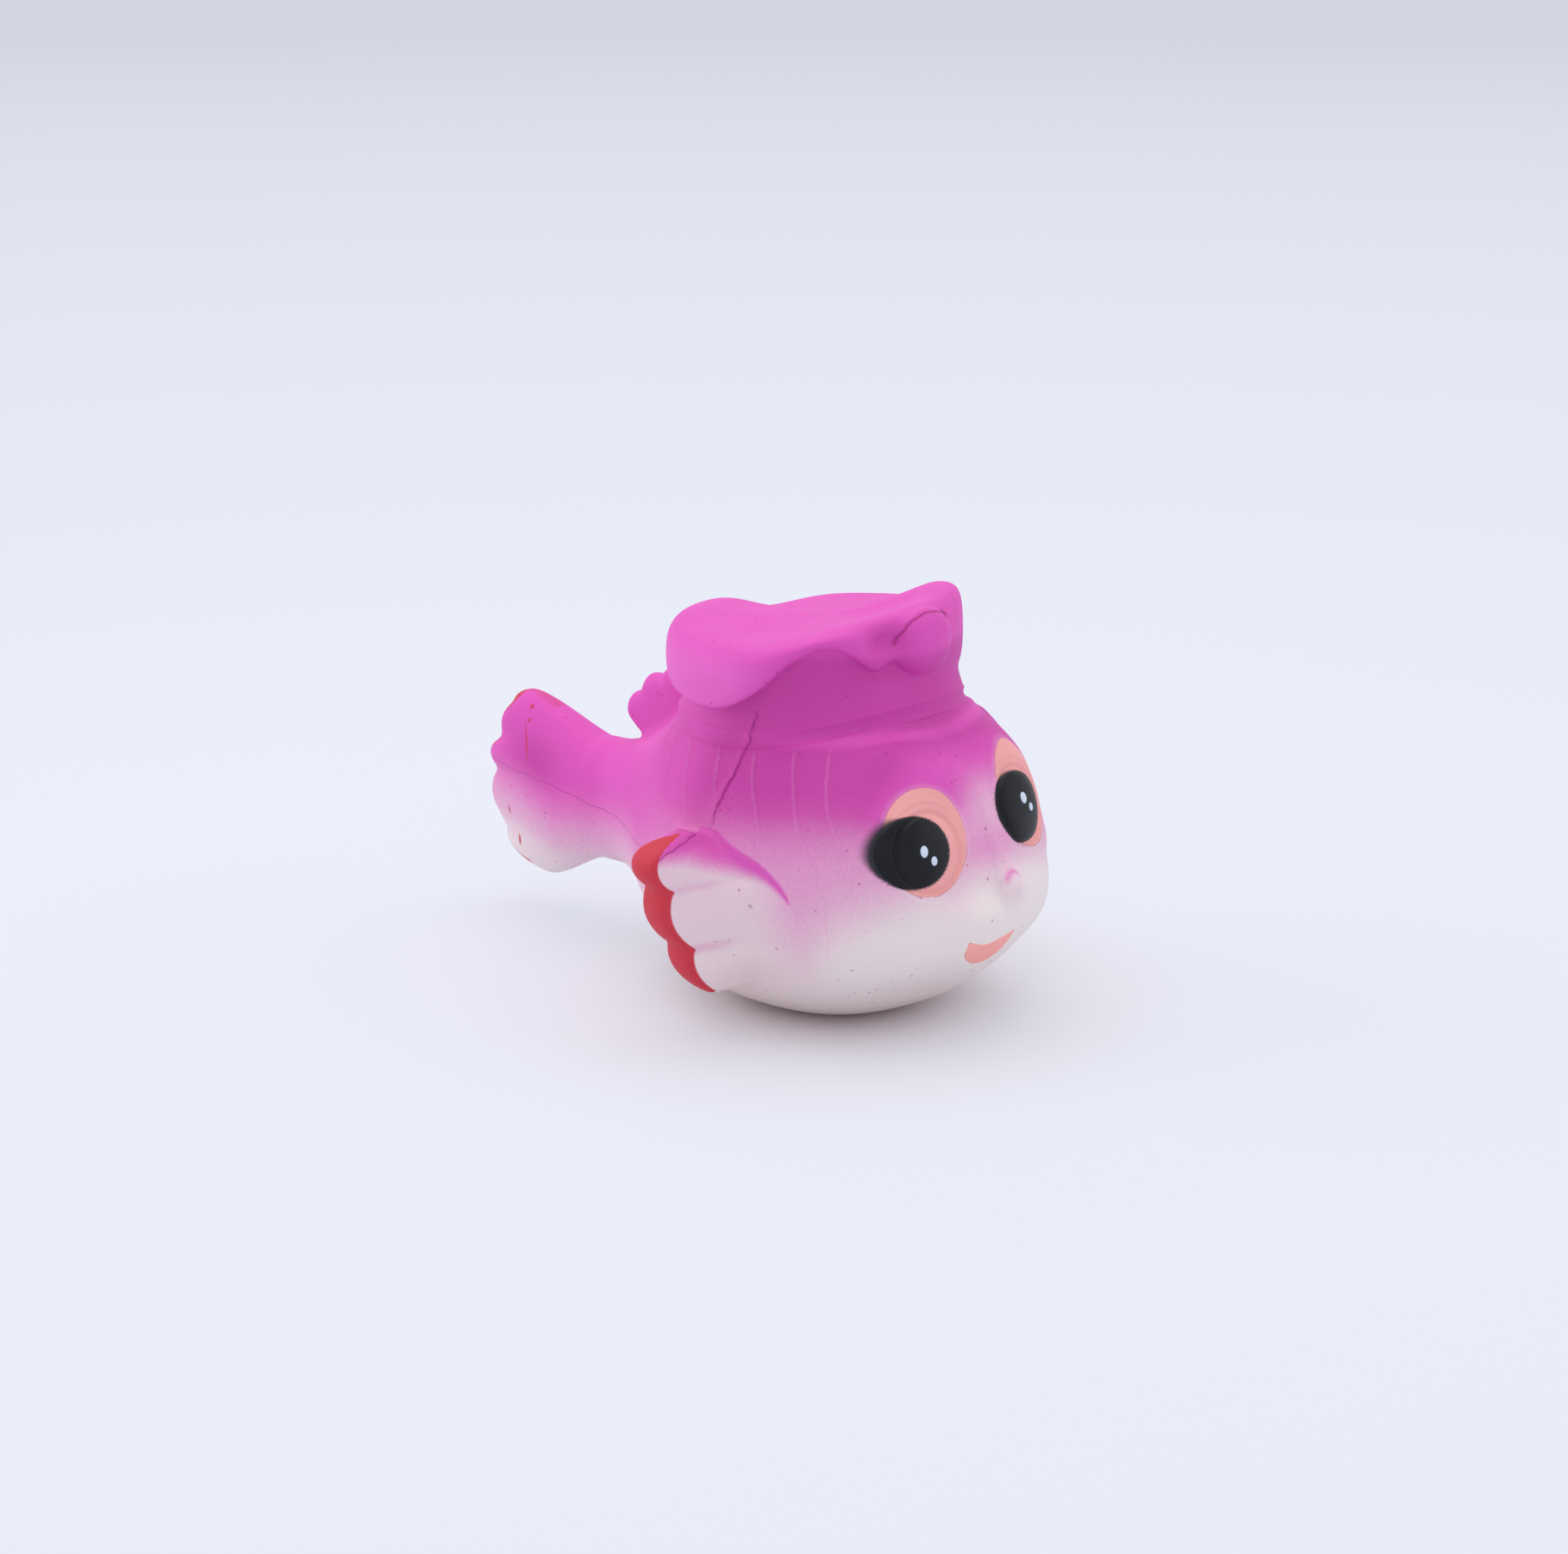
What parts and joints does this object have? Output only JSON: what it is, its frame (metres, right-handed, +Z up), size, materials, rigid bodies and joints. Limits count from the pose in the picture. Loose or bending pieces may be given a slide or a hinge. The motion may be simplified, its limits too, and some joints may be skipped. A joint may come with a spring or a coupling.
{
  "type": "squishy fish toy",
  "caption": "Soft foam fish toy with a floppy cap, a bending scalloped tail and side fins, a small back fin, and a painted face that can be pressed in.",
  "frame": {"origin": "on the floor plane under the middle of the toy's length and width", "axes": "+X toward the nose, +Y to the fish's left, +Z up"},
  "size_m": [0.1143, 0.0866, 0.0692],
  "materials": {
    "airbrushed_skin": "matte polyurethane foam skin, airbrushed pink over cream",
    "pink_skin": "matte polyurethane foam skin, airbrushed pink",
    "soft_foam": "open slow-rise foam",
    "red_paint": "matte brushed paint on foam",
    "peach_paint": "matte brushed paint on foam",
    "black_paint": "satin paint on foam",
    "white_paint": "satin paint on foam"
  },
  "bodies": {
    "body": {"front_skin": "airbrushed_skin", "upper_back_skin": "airbrushed_skin", "lower_back_skin": "airbrushed_skin", "foam_core": "soft_foam", "cap_band": "pink_skin", "cap_crown": "pink_skin", "cap_badge": "pink_skin"},
    "tail": {"tail_upper": "airbrushed_skin", "tail_lower": "airbrushed_skin", "tail_edge": "red_paint"},
    "left_side_fin": {"left_fin": "airbrushed_skin", "left_fin_edge": "red_paint"},
    "right_side_fin": {"right_fin": "airbrushed_skin", "right_fin_edge": "red_paint"},
    "back_fin": {"dorsal_fin": "airbrushed_skin"},
    "face": {"left_eye_patch": "peach_paint", "right_eye_patch": "peach_paint", "left_pupil": "black_paint", "right_pupil": "black_paint", "eye_glints": "white_paint", "mouth": "peach_paint"}
  },
  "joints": [
    {"name": "tail_bend", "type": "hinge", "parent": "body", "child": "tail", "pos_m": [-0.0284, 0, 0.0235], "axis": [0, 0, 1], "range_deg": [-25, 25], "stiffness_Nm_per_rad": 0.01},
    {"name": "left_fin_bend", "type": "hinge", "parent": "body", "child": "left_side_fin", "pos_m": [0.0196, 0.03082, 0.0215], "axis": [0, 0.1558, 0.9878], "range_deg": [-20, 20], "stiffness_Nm_per_rad": 0.002},
    {"name": "right_fin_bend", "type": "hinge", "parent": "body", "child": "right_side_fin", "pos_m": [0.0196, -0.03082, 0.0215], "axis": [0, -0.1558, 0.9878], "range_deg": [-20, 20], "stiffness_Nm_per_rad": 0.002},
    {"name": "back_fin_bend", "type": "hinge", "parent": "body", "child": "back_fin", "pos_m": [-0.0149, 0, 0.04001], "axis": [0.8647, 0, 0.5022], "range_deg": [-15, 15], "stiffness_Nm_per_rad": 0.002},
    {"name": "face_squeeze", "type": "slide", "parent": "body", "child": "face", "axis": [-1, 0, 0], "range_m": [0, 0.003], "stiffness_N_per_m": 300, "deforming": ["front_skin", "foam_core"]}
  ]
}
